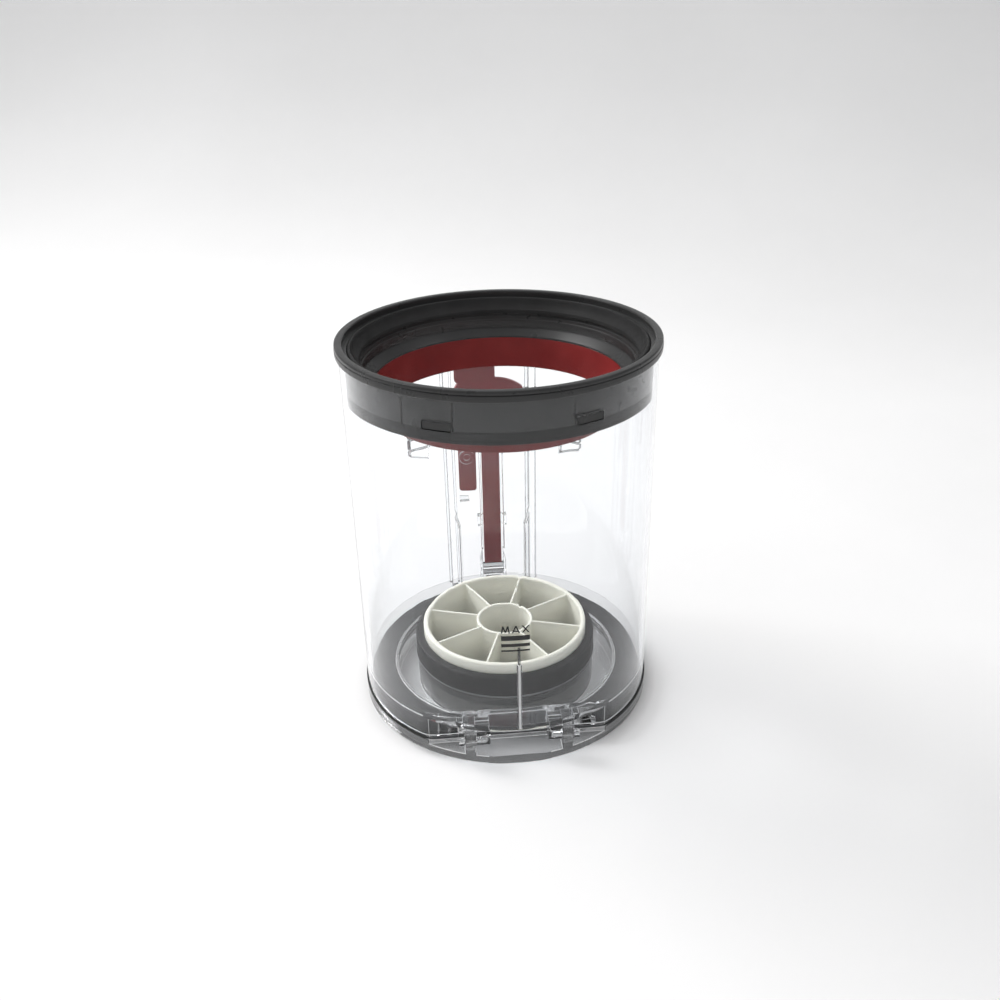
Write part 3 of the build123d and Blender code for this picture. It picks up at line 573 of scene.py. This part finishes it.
def copied_pieces():
    """Pieces that keep their CAD form and get rounded edges."""
    # Clear and smoky pieces: painted shade on rounded edges and shaded faces, painted highlights on bright
    # lines
    clear = (CLEAR, CLEAR_EDGE_PAINTED_SHADE, PAINTED_HIGHLIGHT_LINE, CLEAR_PAINTED_SHADE)
    smoky = (SMOKY, SMOKY_EDGE_PAINTED_SHADE, PAINTED_HIGHLIGHT_LINE, SMOKY_PAINTED_SHADE)
    rows = [
        ("bin_tube", "bin", "clear_tube", clear, 0.3),
        ("rod_keeper", "bin", "clear_tube", (CLEAR,), 0.2),
        ("hinge_pin_left", "bin", "steel", (STEEL,), 0.15),
        ("hinge_pin_right", "bin", "steel", (STEEL,), 0.15),
        ("release_lever", "lever", "red_plastic", (RED_PLASTIC,), 0.35),
        ("push_rod", "lever", "red_plastic", (RED_PLASTIC,), 0.3),
        ("door_plate", "door", "smoky_door", smoky, 0.25),
        ("door_rim_seal", "door", "grey_rubber", (SEAL_RUBBER_AND_PAINTED_LIGHT,), 0.35),
        ("door_edge_seal", "door", "black_rubber", (BLACK_RUBBER, SEAL_RUBBER_AND_PAINTED_LIGHT), 0.15),
        ("door_latch", "door", "clear_tube", (CLEAR, CLEAR_EDGE_PAINTED_SHADE), 0.2),
    ]
    for node, body, slot, materials, width in rows:
        piece = rounded_copy(node, node + "_form", width)
        if node in FACE_RULES:
            tint(piece, FACE_RULES[node])
        dress(piece, node, body, slot, *materials)


def mouth_ring():
    """Dark ring: a grooved rim, the seal's pocket, a stepped throat and slit snap tongues in the band."""
    rim_face = 3.0
    groove = RIM_TOP - 1.5
    pocket = LIP_RADIUS + 0.1
    shelf = LIP_TOP - 0.6
    web = LIP_LOW - 2.4
    band_inner = BAND_RADIUS - 2.0
    ring = lathe("mouth_ring_form", [
        (BAND_RADIUS, BAND_LOW, 0.2),
        (BAND_RADIUS, TUBE_TOP, 0.0),
        (RIM_RADIUS - 0.2, TUBE_TOP, 0.3),
        (RIM_RADIUS, TUBE_TOP + 0.5, 0.3),
        (RIM_RADIUS, groove - 0.2, 0.08),
        (RIM_RADIUS - 0.35, groove, 0.05),
        (RIM_RADIUS - 0.1, groove + 0.2, 0.08),
        (RIM_RADIUS - 0.1, RIM_TOP, 0.8),
        (RIM_RADIUS - rim_face, RIM_TOP, 0.7),
        (RIM_RADIUS - rim_face, shelf, 0.15),
        (pocket, shelf, 0.15),
        (pocket, LIP_LOW, 0.0),
        (THROAT + 1.3, LIP_LOW, 0.2),
        (THROAT + 1.2, LIP_LOW - 1.2, 0.2),
        (THROAT + 0.6, LIP_LOW - 1.3, 0.2),
        (THROAT + 0.55, LIP_LOW - 2.4, 0.2),
        (THROAT, LIP_LOW - 2.5, 0.2),
        (THROAT, CLAMP_TOP, 0.0),
        (THROAT + 2.0, CLAMP_TOP, 0.2),
        (THROAT + 2.0, web, 0.3),
        (band_inner, web, 0.3),
        (band_inner, BAND_LOW, 0.2),
    ])
    snap_angle = 25.9
    nose_half = 4.8
    slit_width = 0.5
    slit_top = BAND_LOW + 8.8
    near_slit = -nose_half - 0.55
    far_slit = 12.75
    slits = []
    noses = []
    for side in (1, -1):
        for back in (0, 180):
            for x in (near_slit, far_slit):
                outline = slab_outline(side * x, slit_width / 2, BAND_LOW - 1.0, slit_top, 0.0)
                slit = prism("slit", outline, -TUBE_RADIUS, -band_inner + 1.0)
                slits.append(turn(slit, side * snap_angle + back))
            noses.append(turn(snap_nose(nose_half), side * snap_angle + back))
    combine(ring, slits, "DIFFERENCE")
    combine(ring, noses, "UNION")
    dress(ring, "mouth_ring", "bin", "dark_ring", RING)


def slab_outline(x, half, z_low, z_high, corner):
    """Upright rectangle about x, as an outline for a prism."""
    corners = ((-half, z_low), (half, z_low), (half, z_high), (-half, z_high))
    return [(x + across, z, corner) for across, z in corners]


def snap_nose(half):
    """Nose of a snap tongue, curved with the band and rounded at its edges."""
    outer = TUBE_RADIUS - 0.3
    inner = BAND_RADIUS - 0.3
    low = BAND_LOW + 0.2
    high = BAND_LOW + 2.7
    nose = prism("nose", slab_outline(0, half, low, high, 0.35), -outer, -inner)
    for vertex in nose.data.vertices:
        place = vertex.co
        radius = -place.y
        angle = place.x / radius
        vertex.co = (radius * math.sin(angle), -radius * math.cos(angle), place.z)
    return nose


def mouth_lip_seal():
    """Black lip seal: a leaning lip with a fine bead near its foot."""
    inner = LIP_RADIUS - 4.3
    rise = LIP_TOP - LIP_LOW
    seal = lathe("mouth_lip_seal_form", [
        (inner, LIP_LOW, 0.15),
        (LIP_RADIUS, LIP_LOW, 0.15),
        (LIP_RADIUS, LIP_TOP - 0.6, 0.3),
        (LIP_RADIUS - 0.6, LIP_TOP, 0.3),
        (LIP_RADIUS - 1.2, LIP_TOP, 0.3),
        (LIP_RADIUS - 2.1, LIP_TOP - 0.42 * rise, 1.2),
        (inner + 0.75, LIP_LOW + 0.26 * rise, 0.1),
        (inner + 0.45, LIP_LOW + 0.24 * rise, 0.1),
    ])
    dress(seal, "mouth_lip_seal", "bin", "black_rubber", BLACK_RUBBER)


def ring_lower_seal():
    """Black band under the ring, with a shallow groove round its outer face."""
    inner = BAND_RADIUS - 2.0
    seal = lathe("ring_lower_seal_form", [
        (BAND_RADIUS - 0.3, LOWER_SEAL_LOW, 0.3),
        (BAND_RADIUS, LOWER_SEAL_LOW + 0.5, 0.3),
        (BAND_RADIUS, LOWER_SEAL_LOW + 1.2, 0.1),
        (BAND_RADIUS - 0.3, LOWER_SEAL_LOW + 1.4, 0.1),
        (BAND_RADIUS - 0.3, LOWER_SEAL_LOW + 1.7, 0.1),
        (BAND_RADIUS, LOWER_SEAL_LOW + 1.9, 0.1),
        (BAND_RADIUS, LOWER_SEAL_TOP, 0.15),
        (inner, LOWER_SEAL_TOP, 0.15),
        (inner, WIPER_FLANGE, 0.0),
        (inner - 2.0, WIPER_FLANGE, 0.15),
        (inner - 2.0, LOWER_SEAL_LOW, 0.3),
    ])
    dress(seal, "ring_lower_seal", "bin", "black_rubber", BLACK_RUBBER)


def wiper_clamp_ring():
    """Dark ring whose sloped ledge holds the red collar."""
    ring = lathe("wiper_clamp_ring_form", [
        (CLAMP_RADIUS, CLAMP_LOW, 0.2),
        (CLAMP_RADIUS, CLAMP_TOP, 0.2),
        (THROAT, CLAMP_TOP, 0.2),
        (THROAT - 0.5, CLAMP_TOP - 0.25, 0.2),
        (LEDGE, CLAMP_LOW + 0.6, 0.3),
        (LEDGE, CLAMP_LOW, 0.1),
    ])
    dress(ring, "wiper_clamp_ring", "bin", "dark_ring", RING)


def shroud_wiper():
    """Red collar: a flat flange and a thin cone that narrows downwards to a rounded lip."""
    foot = LEDGE - 3.6
    thickness = 1.2
    wiper = lathe("shroud_wiper_form", [
        (WIPER_RADIUS, WIPER_FLANGE, 0.2),
        (WIPER_RADIUS, WIPER_TOP, 0.2),
        (LEDGE, WIPER_TOP, 0.2),
        (foot, WIPER_LOW, 0.5),
        (foot + thickness, WIPER_LOW, 0.5),
        (LEDGE + thickness, WIPER_FLANGE, 1.0),
    ])
    dress(wiper, "shroud_wiper", "bin", "red_silicone", RED_SILICONE)


def dust_cup_sleeve():
    """Grey soft sleeve with a small rounded shoulder and a lip at its foot, painted pale as a highlight."""
    inner = SLEEVE_RADIUS - 3.3
    collar_top = SLEEVE_LOW + 4.6
    lip_top = collar_top + 0.9
    sleeve = lathe("dust_cup_sleeve_form", [
        (inner, SLEEVE_LOW, 0.2),
        (inner + 1.1, SLEEVE_LOW, 0.2),
        (inner + 1.1, collar_top, 0.0),
        (SLEEVE_RADIUS, collar_top, 0.2),
        (SLEEVE_RADIUS, lip_top, 0.1),
        (SLEEVE_RADIUS - 0.25, collar_top + 1.1, 0.1),
        (SLEEVE_RADIUS - 0.1, SLEEVE_TOP - 0.4, 0.4),
        (SLEEVE_RADIUS - 0.7, SLEEVE_TOP, 0.4),
        (inner, SLEEVE_TOP, 0.2),
    ])
    # Painted highlight: the lip's faces take the pale rubber
    for face in sleeve.data.polygons:
        lip = collar_top + 0.1 < face.center.z / MM < lip_top
        face.material_index = EDGE if lip else FACE
    dress(sleeve, "dust_cup_sleeve", "door", "grey_rubber", GREY_RUBBER, PAINTED_HIGHLIGHT_RUBBER)


def vane_insert():
    """Cream cup with a rounded rim, a hub and vanes that are thinner at the top."""
    wall = 2.0
    hub_radius = 11.6
    hub_wall = 1.2
    floor = INSERT_LOW + 1.8
    sunk = INSERT_LOW + 0.5
    vane_top = INSERT_TOP - 0.6
    vane_foot_half = 0.85
    vane_top_half = 0.4
    vanes_round = 8
    first_vane = -18
    cup = lathe("vane_insert_form", [
        (0, INSERT_LOW, 0),
        (INSERT_RADIUS, INSERT_LOW, 0.3),
        (INSERT_RADIUS, INSERT_TOP, 0.9),
        (INSERT_RADIUS - wall, INSERT_TOP, 0.9),
        (INSERT_RADIUS - wall, floor, 1.2),
        (0, floor, 0),
    ])
    hub = lathe("hub", [
        (hub_radius, sunk, 0),
        (hub_radius, vane_top, 0.5),
        (hub_radius - hub_wall, vane_top, 0.5),
        (hub_radius - hub_wall, sunk, 0),
    ])
    section = [
        (-vane_foot_half, sunk, 0),
        (vane_foot_half, sunk, 0),
        (vane_top_half, vane_top, 0.3),
        (-vane_top_half, vane_top, 0.3),
    ]
    vanes = []
    for number in range(vanes_round):
        vane = prism("vane", section, -INSERT_RADIUS + wall / 2, -hub_radius + hub_wall / 2)
        vanes.append(turn(vane, first_vane + 360 / vanes_round * number))
    combine(cup, [hub] + vanes, "UNION")
    dress(cup, "vane_insert", "door", "cream_plastic", CREAM)


def coil_spring():
    """Round-wire coil between the shelf and the lever's seat."""
    low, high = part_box("lever_spring")
    wire = 0.3 * MM
    radius = (high.x - low.x) / 2 - wire
    middle = (low + high) / 2
    turns = 4
    steps = 36 * turns
    sides = 10
    rise = (high.z - low.z) - 2 * wire
    verts = []
    faces = []
    for step in range(steps + 1):
        angle = 2 * math.pi * turns * step / steps
        out = Vector((math.cos(angle), math.sin(angle), 0))
        centre = Vector((middle.x, middle.y, low.z + wire + rise * step / steps)) + out * radius
        for side in range(sides):
            tilt = 2 * math.pi * side / sides
            verts.append(centre + out * math.cos(tilt) * wire + Vector((0, 0, math.sin(tilt) * wire)))
    for step in range(steps):
        for side in range(sides):
            a = step * sides + side
            b = step * sides + (side + 1) % sides
            faces.append((a, b, b + sides, a + sides))
    faces.append(tuple(range(sides)))
    faces.append(tuple(steps * sides + side for side in range(sides)))
    spring = dress(mesh_object("coil_spring", verts, faces), "lever_spring", "bin", "steel", STEEL)
    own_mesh(spring)


def fill_mark():
    """Black printed fill mark on the front of the tube: the word MAX over three bars."""
    width = 10.2
    thickness = 0.04
    middle = math.radians(-1.15)
    word_low = 59.2
    word_high = 62.2
    bars = ((57.1, 2.0), (54.1, 1.3), (51.8, 0.7))
    letters = max_letters(width, word_low, word_high, thickness)
    verts = [v.co / MM for v in letters.data.vertices]
    faces = [tuple(p.vertices) for p in letters.data.polygons]
    bpy.data.objects.remove(letters)
    for z, height in bars:
        add_bar(verts, faces, width, z, height, thickness)
    for vertex in verts:
        angle = middle + vertex.x / TUBE_RADIUS
        radius = TUBE_RADIUS + thickness - vertex.y
        vertex.xyz = Vector((radius * math.sin(angle), -radius * math.cos(angle), vertex.z)) * MM
    mark = mesh_object("fill_mark", verts, faces)
    mark.data.materials.append(INK)
    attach(mark, "bin")


def max_letters(width, low, high, thickness):
    """The word MAX as flat strokes of even weight, joined, from strokes on a grid one letter high."""
    weight = 0.17
    span = 3.42
    strokes = [
        ((0.08, 0), (0.24, 1)), ((0.24, 1), (0.53, 0.1)), ((0.53, 0.1), (0.82, 1)), ((0.82, 1), (0.98, 0)),
        ((1.36, 0), (1.77, 1)), ((1.77, 1), (2.18, 0)), ((1.5, 0.24), (2.04, 0.24)),
        ((2.54, 0), (3.3, 1)), ((2.54, 1), (3.3, 0)),
    ]
    pieces = []
    for start, end in strokes:
        along = Vector(end) - Vector(start)
        if along.y == 0:
            side = Vector((0, weight / 2))
        else:
            side = Vector((weight / 2 * along.length / abs(along.y), 0))
        corners = [Vector(start) - side, Vector(start) + side, Vector(end) + side, Vector(end) - side]
        outline = [((c.x / span - 0.5) * width, low + c.y * (high - low), 0.0) for c in corners]
        pieces.append(prism("stroke", outline, -thickness / 2, thickness / 2))
    return combine(pieces[0], pieces[1:], "UNION")


def add_bar(verts, faces, width, z, height, thickness):
    """Flat bar of the fill mark, cut into strips so that it can follow the tube."""
    strips = 16
    start = len(verts)
    for step in range(strips + 1):
        x = width * (step / strips - 0.5)
        for y in (-thickness / 2, thickness / 2):
            verts.append(Vector((x, y, z - height / 2)))
            verts.append(Vector((x, y, z + height / 2)))
    for step in range(strips):
        a = start + 4 * step
        b = a + 4
        faces += [
            (a, b, b + 1, a + 1),
            (a + 2, a + 3, b + 3, b + 2),
            (a, a + 2, b + 2, b),
            (a + 1, b + 1, b + 3, a + 3),
        ]
    faces.append((start, start + 1, start + 3, start + 2))
    end = start + 4 * strips
    faces.append((end, end + 2, end + 3, end + 1))


def stage():
    """Pale floor that curves up into a backdrop."""
    half = 3.0
    back = 0.35
    bend = 1.1
    height = 2.5
    floor_gap = -0.3 * MM
    steps = 12
    profile = [(-2.5, floor_gap), (back, floor_gap)]
    for step in range(1, steps + 1):
        angle = math.radians(90 * step / steps)
        profile.append((back + bend * math.sin(angle), floor_gap + bend * (1 - math.cos(angle))))
    profile.append((back + bend, height))
    verts = []
    for y, z in profile:
        verts.append((-half, y, z))
        verts.append((half, y, z))
    faces = [(2 * i, 2 * i + 1, 2 * i + 3, 2 * i + 2) for i in range(len(profile) - 1)]
    floor = mesh_object("floor", verts, faces)
    shader = Shader("floor_paint", IOR=1.4)
    shader.blend(shader.noise(3.0, 3.0), grey(0.82, 0.004), grey(0.86, 0.004))
    shader.vary("Roughness", shader.noise(40.0, 3.0), 0.55, 0.7)
    floor.data.materials.append(shader.material)


def area_lamp(name, place, target, size, power, spread=180):
    """Soft square lamp aimed at a point, with its beam held to a spread in degrees."""
    lamp = bpy.data.lights.new(name, "AREA")
    lamp.shape = "SQUARE"
    lamp.size = size
    lamp.energy = power
    lamp.spread = math.radians(spread)
    obj = link(bpy.data.objects.new(name, lamp))
    obj.location = place
    obj.rotation_euler = (Vector(target) - Vector(place)).to_track_quat("-Z", "Y").to_euler()
    return obj


def lights():
    """Window light from the left and behind, wide lamps that leave no glare, and a dim sky."""
    area_lamp("key", (-0.62, 0.44, 1.08), (0, 0, 0.1), 0.45, 3.1)
    for name, place, target, size, power, spread in (
        ("window", (-0.9, 0.63, 0.8), (0, 0, 0.05), 0.6, 2.6, 80),
        ("overhead", (-0.2, 0.1, 1.4), (0.05, 0.05, 0), 1.6, 6.8, 140),
        ("fill", (-0.35, -1.0, 0.8), (0, 0, 0.05), 0.9, 1.3, 140),
    ):
        wide = area_lamp(name, place, target, size, power, spread)
        wide.visible_glossy = False
    area_lamp("backdrop", (0.9, 0.1, 1.2), (0.6, 0.7, 0.1), 0.6, 1.5, 120)
    world = bpy.data.worlds.new("sky")
    bpy.context.scene.world = world
    world.use_nodes = True
    background = world.node_tree.nodes["Background"]
    background.inputs["Color"].default_value = (0.96, 0.98, 1.0, 1.0)
    background.inputs["Strength"].default_value = 0.3


def camera():
    """Camera at the photograph's place, with its small roll."""
    data = bpy.data.cameras.new("camera")
    data.lens = CAMERA_LENS
    data.sensor_width = CAMERA_SENSOR
    obj = link(bpy.data.objects.new("camera", data))
    aim = (CAMERA_TARGET - CAMERA_PLACE).to_track_quat("-Z", "Y").to_matrix()
    aim = aim @ Matrix.Rotation(CAMERA_ROLL, 3, "Z")
    obj.matrix_world = Matrix.Translation(CAMERA_PLACE) @ aim.to_4x4()
    bpy.context.scene.camera = obj


def render_look():
    """Enough bounces for stacked clear walls, denoising without normals, and a plain view of the colours."""
    scene = bpy.context.scene
    scene.cycles.max_bounces = 32
    scene.cycles.transmission_bounces = 32
    scene.cycles.transparent_max_bounces = 32
    scene.cycles.glossy_bounces = 8
    scene.cycles.diffuse_bounces = 4
    scene.cycles.denoising_input_passes = "RGB_ALBEDO"
    scene.view_settings.view_transform = "Standard"


copied_pieces()
mouth_ring()
mouth_lip_seal()
ring_lower_seal()
wiper_clamp_ring()
shroud_wiper()
dust_cup_sleeve()
vane_insert()
coil_spring()
fill_mark()
stage()
lights()
camera()
render_look()
